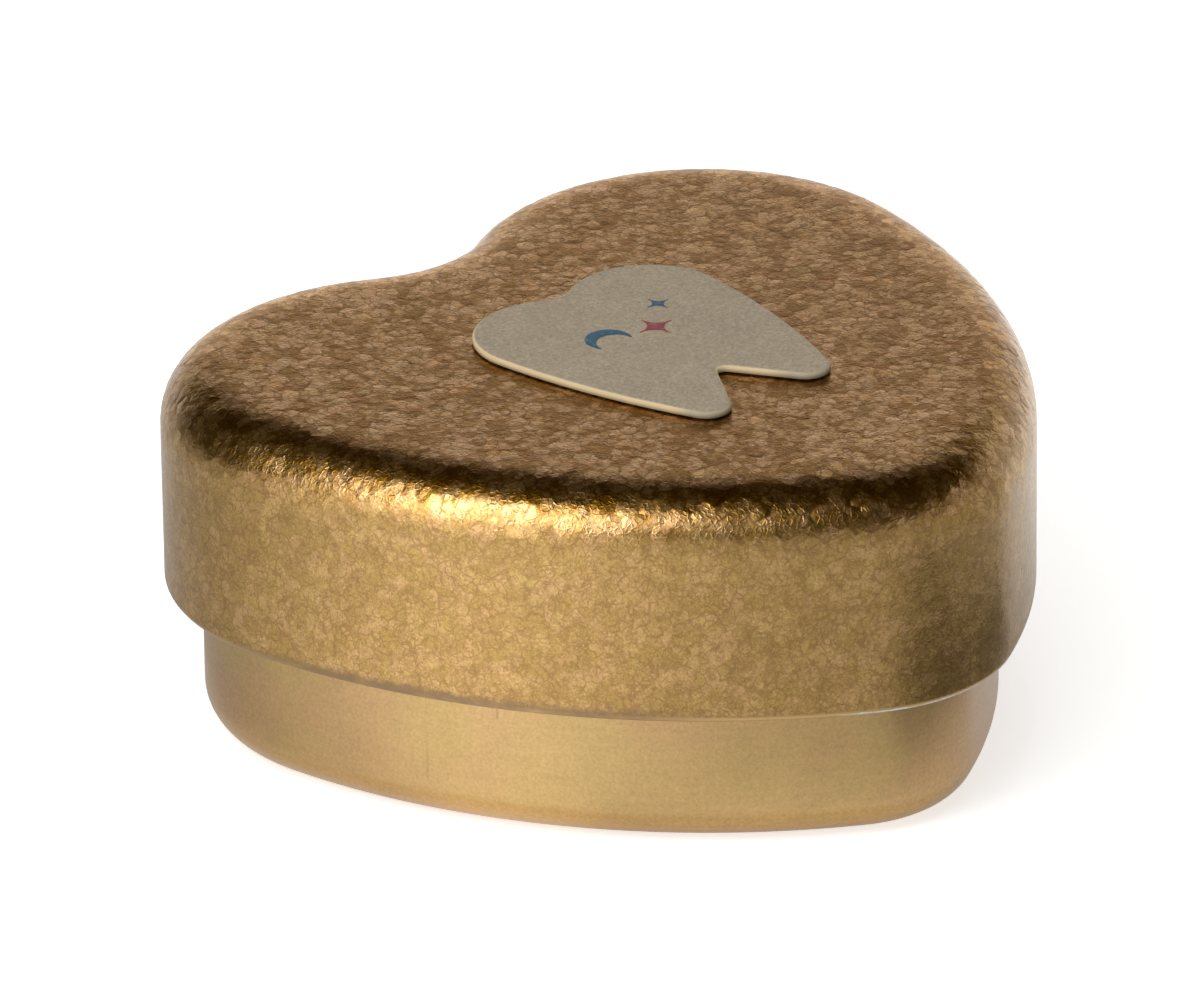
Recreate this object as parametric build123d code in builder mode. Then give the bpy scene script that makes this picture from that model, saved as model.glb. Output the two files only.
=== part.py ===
"""Heart-shaped keepsake tin for milk teeth, with a lift-off lid and a tooth-shaped plaque.

The box is two deep-drawn tinplate shells. The lid's skirt is hemmed at its rim and slips over the
outward curl round the base's rim, and the rounded corner under the lid's top rests on that curl.
A tooth-shaped plaque is stuck on the lid with an adhesive film.

Millimetres, +Z up. The origin is the middle of the box's footprint, on the surface that it stands on.
The cleft between the two lobes of the heart faces +Y and its tip faces -Y.
"""

import os
from math import sqrt

from build123d import *

# Plan of the heart, at the outside of the lid's skirt
lid_width = 50.0
lid_length = 46.75
lobe_radius = 14.0
tip_radius = 9.75
side_radius = 41.5
cleft_radius = 7.4

# Tinplate, and the overrun of every cut
sheet = 0.3
overrun = 1.0

# Lid, and the fold of its hem
lid_depth = 13.0
lid_edge_radius = 3.4
hem_height = 1.6
hem_outer_radius = 1.5 * sheet
hem_inner_radius = sheet / 3

# Base
base_height = 20.3
base_corner_radius = 2.45
curl_diameter = 1.6
curl_turn_degrees = 270.0

# Fit of the lid on the base
slip_clearance = 0.2
seat_clearance = 0.08

# Tooth plaque, and the film that holds it
tooth_width = 16.3
tooth_height = 18.6
tooth_forward_offset = 0.95
crown_radius = 4.6
crown_cleft_radius = 2.2
tooth_side_radius = 45.0
root_radius = 1.4
root_spread = 7.5
notch_depth = 4.3
notch_radius = 0.5
plaque_thickness = 0.38
plaque_edge_radius = 0.22
film_thickness = 0.1
film_inset = 0.35

# Sections of the base's rim and wall, as insets from the outside of the lid's skirt
curl_radius = curl_diameter / 2
curl_outer_inset = 2 * sheet + slip_clearance
curl_centre_inset = curl_outer_inset + curl_radius
wall_inset = curl_outer_inset + curl_diameter - sheet

# Height at which the lid comes to rest on the curl: in its rounded inner corner, or under its flat
curl_centre_height = base_height - curl_radius
seat_reach = lid_edge_radius - sheet - curl_radius - seat_clearance
seat_run = max(lid_edge_radius - curl_centre_inset, 0)
lid_top = curl_centre_height - sqrt(seat_reach**2 - seat_run**2) + lid_edge_radius
lid_rim = lid_top - lid_depth


def rim_point(centre, target, radius):
    """The point at a radius from a centre, on the way to a target."""
    return centre + (target - centre).normalized() * radius


def enclosing_centre(first, first_radius, second, second_radius, radius):
    """Centre of the large circle that holds two circles and touches both, on the side of -X."""
    along = second - first
    reach_first = radius - first_radius
    reach_second = radius - second_radius
    run = (reach_first**2 - reach_second**2 + along.length**2) / (2 * along.length)
    rise = sqrt(reach_first**2 - run**2)
    unit = along.normalized()
    return first + unit * run + Vector(unit.Y, -unit.X) * rise


def arc_about(centre, start, end):
    """Draws the arc round a centre from a start to an end, the shorter way."""
    radius = (start - centre).length
    middle = rim_point(centre, centre + (start - centre) + (end - centre), radius)
    return ThreePointArc(start, middle, end)


def heart(inset):
    """Plan of the heart, drawn in by an inset from the outside of the lid's skirt."""
    lobe = Vector(lid_width / 2 - lobe_radius, lid_length / 2 - lobe_radius)
    tip = Vector(0, tip_radius - lid_length / 2)
    cleft = lobe + Vector(-lobe.X, sqrt((lobe_radius + cleft_radius) ** 2 - lobe.X**2))
    side = enclosing_centre(lobe, lobe_radius, tip, tip_radius, side_radius)
    cleft_floor = cleft - Vector(0, cleft_radius + inset)
    cleft_end = rim_point(cleft, lobe, cleft_radius + inset)
    side_start = rim_point(side, lobe, side_radius - inset)
    side_end = rim_point(side, tip, side_radius - inset)
    tip_end = tip - Vector(0, tip_radius - inset)
    with BuildSketch(mode=Mode.PRIVATE) as plan:
        with BuildLine():
            arc_about(cleft, cleft_floor, cleft_end)
            arc_about(lobe, cleft_end, side_start)
            arc_about(side, side_start, side_end)
            arc_about(tip, side_end, tip_end)
            mirror(about=Plane.YZ)
        make_face()
    return plan.sketch


def tooth(inset):
    """Plan of the tooth, drawn in by an inset from the plaque's edge, with its crown towards +Y."""
    middle = Vector(0, tooth_forward_offset)
    crown = middle + Vector(tooth_width / 2 - crown_radius, tooth_height / 2 - crown_radius)
    cleft_rise = sqrt((crown_radius + crown_cleft_radius) ** 2 - crown.X**2)
    crown_cleft = crown + Vector(-crown.X, cleft_rise)
    root = middle + Vector(root_spread / 2, root_radius - tooth_height / 2)
    notch = middle + Vector(0, notch_depth - notch_radius - tooth_height / 2)
    side = enclosing_centre(crown, crown_radius, root, root_radius, tooth_side_radius)
    cleft_floor = crown_cleft - Vector(0, crown_cleft_radius + inset)
    cleft_end = rim_point(crown_cleft, crown, crown_cleft_radius + inset)
    side_start = rim_point(side, crown, tooth_side_radius - inset)
    side_end = rim_point(side, root, tooth_side_radius - inset)
    notch_top = notch + Vector(0, notch_radius + inset)
    # The inner flank of the root is the tangent that crosses between the root's and the notch's circles.
    across = root - notch
    lean = (root_radius + notch_radius) / across.length
    unit = across.normalized()
    normal = unit * lean + Vector(-unit.Y, unit.X) * sqrt(1 - lean**2)
    flank_top = notch + normal * (notch_radius + inset)
    flank_foot = root - normal * (root_radius - inset)
    root_end = root - Vector(0, root_radius - inset)
    with BuildSketch(mode=Mode.PRIVATE) as plan:
        with BuildLine():
            arc_about(crown_cleft, cleft_floor, cleft_end)
            arc_about(crown, cleft_end, side_start)
            arc_about(side, side_start, side_end)
            arc_about(root, side_end, root_end)
            arc_about(root, root_end, flank_foot)
            Line(flank_foot, flank_top)
            arc_about(notch, flank_top, notch_top)
            mirror(about=Plane.YZ)
        make_face()
    return plan.sketch


def heart_block(inset, bottom, top, corner_radius, rounded_end):
    """A solid heart between two heights. Its top edge is rounded, or its bottom edge."""
    with BuildPart(mode=Mode.PRIVATE) as block:
        with BuildSketch(Plane.XY.offset(bottom)):
            add(heart(inset))
        extrude(amount=top - bottom)
        ends = block.edges().group_by(Axis.Z)
        fillet(ends[-1] if rounded_end == "top" else ends[0], corner_radius)
    return block.part


def rim_curl():
    """The base's outward curl: the sheet rolled from the wall's top over, out and under."""
    path = heart(curl_centre_inset).face().outer_wire().moved(Location((0, 0, curl_centre_height)))
    tangent = path % 0
    section_plane = Plane(origin=path @ 0, x_dir=tangent.cross(Vector(0, 0, 1)), z_dir=-tangent)
    with BuildPart(mode=Mode.PRIVATE) as curl:
        with BuildSketch(section_plane):
            with BuildLine():
                outer = CenterArc((0, 0), curl_radius, 180, -curl_turn_degrees)
                inner = CenterArc((0, 0), curl_radius - sheet, 180, -curl_turn_degrees)
                Line(outer @ 0, inner @ 0)
                Line(outer @ 1, inner @ 1)
            make_face()
        sweep(path=path)
    return curl.part


# Base: a drawn cup with a rounded foot, whose rim is curled outwards
base_outside = heart_block(wall_inset, 0, curl_centre_height, base_corner_radius, "bottom")
base_inside = heart_block(
    wall_inset + sheet, sheet, curl_centre_height + overrun, base_corner_radius - sheet, "bottom"
)
base_curl = rim_curl()
with BuildPart() as base_shell:
    add(base_outside)
    add(base_inside, mode=Mode.SUBTRACT)
    add(base_curl)

# Lid: a drawn cup turned over, with a rounded top edge and a hem folded inwards at its rim
lid_outside = heart_block(0, lid_rim, lid_top, lid_edge_radius, "top")
lid_inside = heart_block(
    sheet, lid_rim - overrun, lid_top - sheet, lid_edge_radius - sheet, "top"
)
with BuildPart() as lid_shell:
    add(lid_outside)
    add(lid_inside, mode=Mode.SUBTRACT)
    with BuildSketch(Plane.XY.offset(lid_rim)):
        add(heart(sheet))
        add(heart(2 * sheet), mode=Mode.SUBTRACT)
    extrude(amount=hem_height)
    rim_face = lid_shell.faces().sort_by(Axis.Z)[0]
    fillet(rim_face.outer_wire().edges(), hem_outer_radius)
    rim_face = lid_shell.faces().sort_by(Axis.Z)[0]
    fillet(rim_face.inner_wires()[0].edges(), hem_inner_radius)

# Adhesive film between the lid's top and the plaque
with BuildPart() as plaque_adhesive:
    with BuildSketch(Plane.XY.offset(lid_top)):
        add(tooth(film_inset))
    extrude(amount=film_thickness)

# Tooth-shaped plaque with a rounded upper edge
with BuildPart() as tooth_plaque:
    with BuildSketch(Plane.XY.offset(lid_top + film_thickness)):
        add(tooth(0))
    extrude(amount=plaque_thickness)
    fillet(tooth_plaque.edges().group_by(Axis.Z)[-1], plaque_edge_radius)

os.makedirs("parts", exist_ok=True)
pieces = {
    "base_shell": base_shell,
    "lid_shell": lid_shell,
    "plaque_adhesive": plaque_adhesive,
    "tooth_plaque": tooth_plaque,
}
for name, piece in pieces.items():
    piece.part.label = name
    export_step(piece.part, f"parts/{name}.step")
    print(name, "volume", round(piece.part.volume, 1), "solids", len(piece.part.solids()))
print("lid rim at", round(lid_rim, 3), "lid top at", round(lid_top, 3), "wall inset", round(wall_inset, 3))
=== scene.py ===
"""Looks of the heart-shaped keepsake tin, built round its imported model.

Metres, +Z up. The cleft of the heart faces +Y and its tip faces -Y. The lid with its hammered face, the satin
base and the tooth plaque are meshes of their own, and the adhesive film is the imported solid.
"""

import math
import random

import bpy
import numpy as np
from mathutils import Matrix, Quaternion, Vector
from mathutils.geometry import delaunay_2d_cdt


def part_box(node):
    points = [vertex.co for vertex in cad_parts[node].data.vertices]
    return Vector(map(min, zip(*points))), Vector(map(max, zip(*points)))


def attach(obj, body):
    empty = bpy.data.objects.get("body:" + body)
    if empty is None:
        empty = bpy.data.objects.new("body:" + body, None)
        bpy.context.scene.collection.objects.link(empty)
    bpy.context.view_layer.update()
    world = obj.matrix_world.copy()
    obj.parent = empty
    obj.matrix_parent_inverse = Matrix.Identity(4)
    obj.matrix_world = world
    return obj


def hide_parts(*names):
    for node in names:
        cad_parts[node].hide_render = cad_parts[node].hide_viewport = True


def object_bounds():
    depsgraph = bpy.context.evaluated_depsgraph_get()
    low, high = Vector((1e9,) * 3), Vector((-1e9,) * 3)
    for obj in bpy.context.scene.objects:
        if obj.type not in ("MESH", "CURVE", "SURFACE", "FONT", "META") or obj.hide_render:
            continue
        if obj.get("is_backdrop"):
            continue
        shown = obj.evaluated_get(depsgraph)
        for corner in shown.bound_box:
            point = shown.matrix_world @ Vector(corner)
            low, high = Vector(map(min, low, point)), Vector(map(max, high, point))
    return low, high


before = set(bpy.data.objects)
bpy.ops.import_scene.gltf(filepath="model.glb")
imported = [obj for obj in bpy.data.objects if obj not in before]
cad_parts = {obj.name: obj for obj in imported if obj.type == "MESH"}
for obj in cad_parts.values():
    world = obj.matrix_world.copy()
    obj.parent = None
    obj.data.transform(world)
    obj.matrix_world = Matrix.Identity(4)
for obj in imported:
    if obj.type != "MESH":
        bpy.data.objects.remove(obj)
cad_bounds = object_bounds()
random.seed(5)

MM = 0.001
QUARTER = math.pi / 2

# Plan of the heart, at the outside of the lid's skirt
lid_low, lid_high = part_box("lid_shell")
lid_width = lid_high.x - lid_low.x
lid_length = lid_high.y - lid_low.y
lid_rim = lid_low.z
lid_top = lid_high.z
lobe_radius = 14 * MM
tip_radius = 9.75 * MM
side_radius = 41.5 * MM
cleft_radius = 7.4 * MM

# Tinplate, the lid's rounded edge and the fold of its hem
sheet = 0.3 * MM
edge_radius = 3.4 * MM
edge_onset_share = 0.4
hem_height = 1.6 * MM
hem_outer_radius = 1.5 * sheet
hem_inner_radius = sheet / 3

# Base
base_low, base_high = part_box("base_shell")
base_corner_radius = 2.45 * MM
curl_radius = 0.8 * MM
curl_turn = math.radians(270)
curl_centre_inset = 1.6 * MM
wall_inset = curl_centre_inset + curl_radius - sheet
curl_centre_height = base_high.z - curl_radius

# Tooth plaque
plaque_low, plaque_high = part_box("tooth_plaque")
tooth_width = plaque_high.x - plaque_low.x
tooth_height = plaque_high.y - plaque_low.y
tooth_middle = np.array([0, (plaque_high.y + plaque_low.y) / 2])
crown_radius = 4.6 * MM
crown_cleft_radius = 2.2 * MM
tooth_side_radius = 45 * MM
root_radius = 1.4 * MM
root_spread = 7.5 * MM
notch_depth = 4.3 * MM
notch_radius = 0.5 * MM
plaque_edge_radius = 0.22 * MM

# Cells of the hammered lacquer: their spacing, the creases between them and the lie of their faces
narrow_cell = 0.46 * MM
wide_cell = 1.25 * MM
ring_cell = 0.75 * MM
ring_jitter = 0.25 * MM
crease_half_width = 0.075 * MM
crease_depth = 0.026 * MM
flat_relief_share = 0.22
corner_jitter = 0.07 * MM
corner_margin = 0.6 * MM
facet_slope = 0.014
facet_step = 0.001 * MM
facet_dome = 0.003 * MM
flake_share = 0.45
# How light the painted dome shading leaves a cell's rim, against 1 at its middle and 0 in its crease
rim_dome_shade = 0.6
darts_per_area = 3.5

# Paint on the plaque
moon_radius = 1.35 * MM
moon_hollow_radius = 1.1 * MM
moon_hollow_shift = 0.6 * MM
moon_middle = np.array([-2.0, 2.9]) * MM
moon_turn = -QUARTER
star_middle = np.array([1.1, 2.4]) * MM
star_reach = 1.2 * MM
small_star_middle = np.array([3.3, 4.6]) * MM
small_star_reach = 0.8 * MM
star_waist_share = 0.4
paint_corner_radius = 0.05 * MM
paint_thickness = 0.03 * MM

# Camera, from the view of the photograph
camera_azimuth = math.radians(-42.211)
camera_elevation = math.radians(25.031)
camera_roll = math.radians(-0.732)
camera_distance = 700 * MM
camera_aim = Vector((-3.357, 2.287, 12.885)) * MM
camera_lens = 376.3

# Light, with azimuths counted from the camera's side towards its right
key_azimuth = math.radians(-44)
key_elevation = math.radians(48)
key_distance = 300 * MM
key_size = (90 * MM, 170 * MM)
key_radiance = 4.5
halo_azimuth = math.radians(-43)
halo_elevation = math.radians(44)
halo_distance = 320 * MM
halo_size = (250 * MM, 290 * MM)
halo_radiance = 1.3
halo_roll = math.radians(-25)
wing_azimuth = math.radians(-5)
wing_elevation = math.radians(58)
wing_size = (80 * MM, 150 * MM)
wing_radiance = 0.54
fill_height = 600 * MM
fill_size = (500 * MM, 500 * MM)
fill_radiance = 1.5
horizon_level = 0.46
key_side_level = 0.75
back_level = 0.6
horizon_colour = (1.0, 0.98, 0.96)
room_level = 0.025
room_colour = (1.0, 0.7, 0.1)
band_top = math.sin(math.radians(24.5))
left_gap_azimuth = math.radians(-115)
left_gap_depth = 0.43
right_rise_azimuth = math.radians(48)
right_rise = 0.12
far_rise_azimuth = math.radians(95)
far_rise = 0.17
floor_radius = 3.0
floor_lift = 0.64
table_lift = 0.45

# How bright the table looks in the metal: painted light and shade that only glossy rays see
table_level = 0.39
table_azimuth = math.radians(-36)
table_azimuth_level = 0.56
front_azimuth = math.radians(8)
front_level = 0.09
behind_level = 0.8
right_azimuth = math.radians(140)
right_level = 0.36
# Painted shadow of the lid's overhang on the table, to the left
overhang_shadow_azimuth = math.radians(-85)
overhang_shadow_share = 0.2
# Painted light on the table close to the tin
near_reach = (21 * MM, 40 * MM)
near_level = 0.72
# A painted dark patch on the table beside the tip
dark_forward = (-4 * MM, 39 * MM)
dark_aside = (22 * MM, 45 * MM)
dark_edge = 2 * MM
dark_share = 0.74


# Outlines: chains of tangent arcs, each a centre, a radius and the bearings of the outward normal at its start
# and end. A hollow arc has a negative radius, so that centre + radius * normal always lies on the outline.


def direction(angle):
    return np.array([math.cos(angle), math.sin(angle)])


def bearing(vector):
    return math.atan2(vector[1], vector[0])


def enclosing_centre(first, first_radius, second, second_radius, radius):
    """Centre of the large circle that holds two circles and touches both, on the side of -X."""
    along = second - first
    reach = math.hypot(*along)
    reach_first = radius - first_radius
    reach_second = radius - second_radius
    run = (reach_first**2 - reach_second**2 + reach**2) / (2 * reach)
    rise = math.sqrt(reach_first**2 - run**2)
    unit = along / reach
    return first + unit * run + np.array([unit[1], -unit[0]]) * rise


def with_mirror(half):
    """A right half that runs from -Y to +Y, and its mirror image after it."""
    flip = np.array([-1, 1])
    mirrored = [(centre * flip, radius, math.pi - end, math.pi - start) for centre, radius, start, end in half]
    return half + mirrored[::-1]


def heart_arcs():
    lobe = np.array([lid_width / 2 - lobe_radius, lid_length / 2 - lobe_radius])
    tip = np.array([0, tip_radius - lid_length / 2])
    cleft = np.array([0, lobe[1] + math.sqrt((lobe_radius + cleft_radius) ** 2 - lobe[0] ** 2)])
    side = enclosing_centre(lobe, lobe_radius, tip, tip_radius, side_radius)
    tip_end = bearing(tip - side)
    lobe_start = bearing(lobe - side)
    lobe_end = bearing(cleft - lobe)
    return with_mirror([
        (tip, tip_radius, -QUARTER, tip_end),
        (side, side_radius, tip_end, lobe_start),
        (lobe, lobe_radius, lobe_start, lobe_end),
        (cleft, -cleft_radius, lobe_end, QUARTER),
    ])


def tooth_arcs():
    crown = tooth_middle + [tooth_width / 2 - crown_radius, tooth_height / 2 - crown_radius]
    cleft_rise = math.sqrt((crown_radius + crown_cleft_radius) ** 2 - crown[0] ** 2)
    cleft = np.array([0, crown[1] + cleft_rise])
    root = tooth_middle + [root_spread / 2, root_radius - tooth_height / 2]
    notch = tooth_middle + [0, notch_depth - notch_radius - tooth_height / 2]
    side = enclosing_centre(crown, crown_radius, root, root_radius, tooth_side_radius)
    across = root - notch
    lean = math.asin((root_radius + notch_radius) / math.hypot(*across))
    flank = bearing(across) - QUARTER - lean
    root_end = bearing(root - side)
    crown_start = bearing(crown - side)
    crown_end = bearing(cleft - crown)
    return with_mirror([
        (notch, -notch_radius, -QUARTER, flank),
        (root, root_radius, flank, root_end),
        (side, tooth_side_radius, root_end, crown_start),
        (crown, crown_radius, crown_start, crown_end),
        (cleft, -crown_cleft_radius, crown_end, QUARTER),
    ])


class Outline:
    """A closed chain of arcs, with its points and outward normals."""

    def __init__(self, arcs):
        self.centres = np.array([arc[0] for arc in arcs])
        self.radii = np.array([arc[1] for arc in arcs])
        self.starts = np.array([arc[2] for arc in arcs])
        self.turns = np.array([arc[3] - arc[2] for arc in arcs])
        self.lengths = abs(self.radii * self.turns)
        self.ends = np.cumsum(self.lengths)
        self.length = self.ends[-1]

    def at(self, ways):
        """Points and normals at ways along the outline."""
        ways = np.asarray(ways) % self.length
        arc = np.minimum(np.searchsorted(self.ends, ways, side="right"), len(self.ends) - 1)
        share = 1 - (self.ends[arc] - ways) / self.lengths[arc]
        angle = self.starts[arc] + share * self.turns[arc]
        normals = np.stack([np.cos(angle), np.sin(angle)], -1)
        return self.centres[arc] + self.radii[arc][:, None] * normals, normals

    def ways(self, shares, inset):
        """Ways along the outline at shares of its length when it is drawn in by an inset."""
        knots = np.concatenate([[0], np.cumsum(abs((self.radii - inset) * self.turns))])
        return np.interp(np.asarray(shares) * knots[-1], knots, np.concatenate([[0], self.ends]))

    def stations(self, step, turn):
        """Points and normals no further apart than a step and a turn, except along a straight."""
        points, normals = [], []
        for centre, radius, start, turned, length in zip(
            self.centres, self.radii, self.starts, self.turns, self.lengths
        ):
            count = max(math.ceil(length / step), math.ceil(abs(turned) / turn), 1)
            for share in np.linspace(0, 1, count + 1):
                normal = direction(start + share * turned)
                point = centre + radius * normal
                if not points or math.dist(point, points[-1]) > step / 100:
                    points.append(point)
                    normals.append(normal)
        return np.array(points[:-1]), np.array(normals[:-1])


heart = Outline(heart_arcs())
tooth = Outline(tooth_arcs())


# Meshes: rings of one outline at a chain of insets and heights


def ring_places(points, normals, inset, height):
    return np.column_stack([points - normals * inset, np.full(len(points), height)])


def ring_faces(first, second):
    """Quads between two rings, given as lists of vertex numbers."""
    count = len(first)
    return [(first[i], second[i], second[(i + 1) % count], first[(i + 1) % count]) for i in range(count)]


def arc_section(centre_inset, centre_height, radius, start, turn, count):
    """Insets and heights round an arc in section. Angle 0 faces outwards and a quarter turn faces up."""
    angles = [start + turn * i / count for i in range(count + 1)]
    return [(centre_inset - radius * math.cos(a), centre_height + radius * math.sin(a)) for a in angles]


def mesh_object(name, vertices, faces):
    mesh = bpy.data.meshes.new(name)
    mesh.from_pydata(np.asarray(vertices).tolist(), [], faces)
    mesh.polygons.foreach_set("use_smooth", [True] * len(mesh.polygons))
    made = bpy.data.objects.new(name, mesh)
    bpy.context.scene.collection.objects.link(made)
    return made


def loft(name, points, normals, section, sharp_angle=math.radians(40)):
    """A closed mesh over a chain of rings, with a flat face on its first and on its last ring."""
    vertices = np.concatenate([ring_places(points, normals, inset, height) for inset, height in section])
    numbers = np.arange(len(vertices)).reshape(len(section), -1).tolist()
    faces = [tuple(numbers[0])]
    for first, second in zip(numbers, numbers[1:]):
        faces += ring_faces(first, second)
    faces.append(tuple(reversed(numbers[-1])))
    made = mesh_object(name, vertices, faces)
    made.data.set_sharp_from_angle(angle=sharp_angle)
    return made


# Lid: a hammered face over its top, rounded edge and skirt, then the hem and a plain inside


def edge_profile(samples=200):
    """The lid's rounded edge in section, from the flat top outwards: way along it, inset, drop and tilt.

    Its curve sets in softly, as a pressing's does, and is even from there on."""
    way = np.linspace(0, 1, samples)
    onset = np.clip(way / edge_onset_share, 0, 1)
    curvature = onset**2 * (3 - 2 * onset)
    tilt = np.concatenate([[0], np.cumsum((curvature[1:] + curvature[:-1]) / 2)])
    tilt *= QUARTER / tilt[-1]
    middle_tilt = (tilt[1:] + tilt[:-1]) / 2
    run = np.concatenate([[0], np.cumsum(np.cos(middle_tilt))]) * way[1]
    drop = np.concatenate([[0], np.cumsum(np.sin(middle_tilt))]) * way[1]
    scale = edge_radius / drop[-1]
    return way * scale, (run[-1] - run) * scale, drop * scale, tilt


edge_way, edge_inset, edge_drop, edge_tilt = edge_profile()
edge_length = edge_way[-1]
flat_inset = edge_inset[0]
skirt_foot = edge_length + lid_top - edge_radius - lid_rim - hem_outer_radius


def lid_face(ways, outs):
    """Points and normals of the lid's face. Out is the way from the flat top's rim, over the edge and down."""
    outs = np.asarray(outs)
    over = np.clip(outs, 0, edge_length)
    inset = np.interp(over, edge_way, edge_inset) + np.maximum(-outs, 0)
    drop = np.interp(over, edge_way, edge_drop) + np.maximum(outs - edge_length, 0)
    tilt = np.interp(over, edge_way, edge_tilt)
    plan, normals = heart.at(ways)
    places = np.column_stack([plan - normals * inset[:, None], lid_top - drop])
    facings = np.column_stack([normals * np.sin(tilt)[:, None], np.cos(tilt)])
    return places, facings


def relief_share(facing):
    """How deep the hammering is: all of it where the edge is bent most, and less on the flat top and the skirt."""
    bend = 4 * facing[2] ** 2 * (1 - facing[2] ** 2)
    return flat_relief_share + (1 - flat_relief_share) * bend


class Darts:
    """Points thrown at the lid's face, each kept only if it is clear of the earlier ones."""

    def __init__(self):
        self.boxes = {}

    def box(self, place):
        return tuple(int(c // wide_cell) for c in place)

    def add(self, place, room):
        self.boxes.setdefault(self.box(place), []).append((place, room))

    def clear(self, place, room):
        x, y, z = self.box(place)
        near = [(x + i, y + j, z + k) for i in (-1, 0, 1) for j in (-1, 0, 1) for k in (-1, 0, 1)]
        return all(
            math.dist(place, other) >= (room + other_room) / 2
            for box in near
            for other, other_room in self.boxes.get(box, ())
        )

    def throw(self, places):
        """Which of the places were kept."""
        kept = []
        for place in places.tolist():
            room = narrow_cell + (wide_cell - narrow_cell) * random.random() ** 1.6
            kept.append(self.clear(place, room))
            if kept[-1]:
                self.add(place, room)
        return np.array(kept)


def random_pairs(count):
    return np.array([[random.random(), random.random()] for _ in range(count)])


def jitters(count):
    return np.array([[random.uniform(-corner_jitter, corner_jitter) for _ in range(2)] for _ in range(count)])


def ring_ways(inset):
    """Uneven ways along the outline for the cells of a ring."""
    length = sum(abs((heart.radii - inset) * heart.turns))
    widths = np.cumsum([random.uniform(0.65, 1.35) for _ in range(round(length / ring_cell))])
    return heart.ways((widths - widths[0]) / widths[-1], inset)


def inside(points, loop):
    """Which points lie inside a closed loop."""
    found = np.zeros(len(points), bool)
    for start, end in zip(loop, np.roll(loop, -1, axis=0)):
        between = (start[1] > points[:, 1]) != (end[1] > points[:, 1])
        rise = np.where(between, end[1] - start[1], 1)
        found ^= between & (points[:, 0] < start[0] + (points[:, 1] - start[1]) * (end[0] - start[0]) / rise)
    return found


def triangulate(points, loop_count=0):
    """Delaunay triangles over points of a plane, counter-clockwise. The first points may be a loop to keep to."""
    flat = [Vector(point) for point in (points / MM).tolist()]
    loops = [list(range(loop_count))] if loop_count else []
    _, _, faces, origins, _, _ = delaunay_2d_cdt(flat, [], loops, len(loops), 1e-6)
    triangles = []
    for face in faces:
        a, b, c = (origins[number][0] for number in face)
        flipped = (flat[b] - flat[a]).cross(flat[c] - flat[a]) < 0
        triangles.append((a, c, b) if flipped else (a, b, c))
    return np.array(triangles)


class Cells:
    """Seeds of the hammered cells over the whole face, and the triangles between them.

    The seeds are, in turn, the ring at the flat top's rim, the top, the band round it and the skirt's foot."""

    def __init__(self):
        darts = Darts()
        ring = ring_ways(flat_inset)
        self.foot_ways = ring_ways(0)
        loop, _ = lid_face(ring, np.zeros(len(ring)))
        foot, _ = lid_face(self.foot_ways, np.full(len(self.foot_ways), skirt_foot))
        for place in loop.tolist() + foot.tolist():
            darts.add(place, ring_cell)

        plan = random_pairs(int(lid_width * lid_length / narrow_cell**2 * darts_per_area)) - 0.5
        plan *= [lid_width, lid_length]
        plan = plan[inside(plan, loop[:, :2])]
        plan = plan[darts.throw(np.column_stack([plan, np.full(len(plan), lid_top)]))]
        chart = random_pairs(int(heart.length * skirt_foot / narrow_cell**2 * darts_per_area))
        chart *= [heart.length, skirt_foot]
        chart = chart[darts.throw(lid_face(*chart.T)[0])]

        # The ring's seeds are moved off it once the triangles are found, or it would show as a line.
        level = np.concatenate([
            np.column_stack([ring, np.zeros(len(ring))]),
            chart,
            np.column_stack([self.foot_ways, np.full(len(self.foot_ways), skirt_foot)]),
        ])
        shaken = level.copy()
        shaken[: len(ring), 1] = [random.uniform(-ring_jitter, ring_jitter) for _ in ring]
        band_places, band_facings = lid_face(*shaken.T)
        top_places = np.column_stack([plan, np.full(len(plan), lid_top)])
        top_facings = np.tile([0.0, 0.0, 1.0], (len(plan), 1))
        count = len(ring)
        self.places = np.concatenate([band_places[:count], top_places, band_places[count:]])
        self.facings = np.concatenate([band_facings[:count], top_facings, band_facings[count:]])
        self.foot_first = len(self.places) - len(self.foot_ways)

        top = triangulate(np.concatenate([loop[:, :2], plan]), count)
        numbers = np.arange(len(level))
        numbers[count:] += len(plan)
        band, band_middles = self.band_triangles(level, shaken)
        self.triangles = np.concatenate([top, numbers[band]])
        band_middles += jitters(len(band)) * (band_middles[:, 1:] < skirt_foot - corner_margin)
        places, facings = lid_face(*band_middles.T)
        shake = np.column_stack([jitters(len(top)), np.zeros(len(top))])
        self.middles = np.concatenate([self.places[top].mean(1) + shake, places])
        self.middle_facings = np.concatenate([np.tile([0.0, 0.0, 1.0], (len(top), 1)), facings])

    def band_triangles(self, level, shaken):
        """Triangles over the band, which closes on itself, so both its ends are carried on past the seam."""
        numbers = np.arange(len(level))
        early = numbers[level[:, 0] < 5 * wide_cell]
        late = numbers[level[:, 0] > heart.length - 5 * wide_cell]
        numbers = np.concatenate([numbers, early, late])
        shift = np.zeros((len(numbers), 2))
        shift[len(level) : len(level) + len(early), 0] = heart.length
        shift[len(level) + len(early) :, 0] = -heart.length
        found = triangulate(level[numbers] + shift)
        middle_ways = (level[numbers] + shift)[found].mean(1)[:, 0]
        found = found[(middle_ways >= 0) & (middle_ways < heart.length)]
        return numbers[found][:, ::-1], (shaken[numbers] + shift)[found].mean(1)

    def fans(self):
        """Each seed's triangles in order round it, with the neighbours at which an open fan starts and ends."""
        sectors = {}
        for number, (a, b, c) in enumerate(self.triangles.tolist()):
            for middle, first, last in ((a, b, c), (b, c, a), (c, a, b)):
                sectors.setdefault(middle, {})[first] = (number, last)
        for seed, steps in sorted(sectors.items()):
            lasts = {last for _, last in steps.values()}
            start = next((first for first in steps if first not in lasts), next(iter(steps)))
            here, order = start, []
            while here in steps and len(order) < len(steps):
                number, here = steps[here]
                order.append(number)
            yield seed, order, start, here


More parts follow.
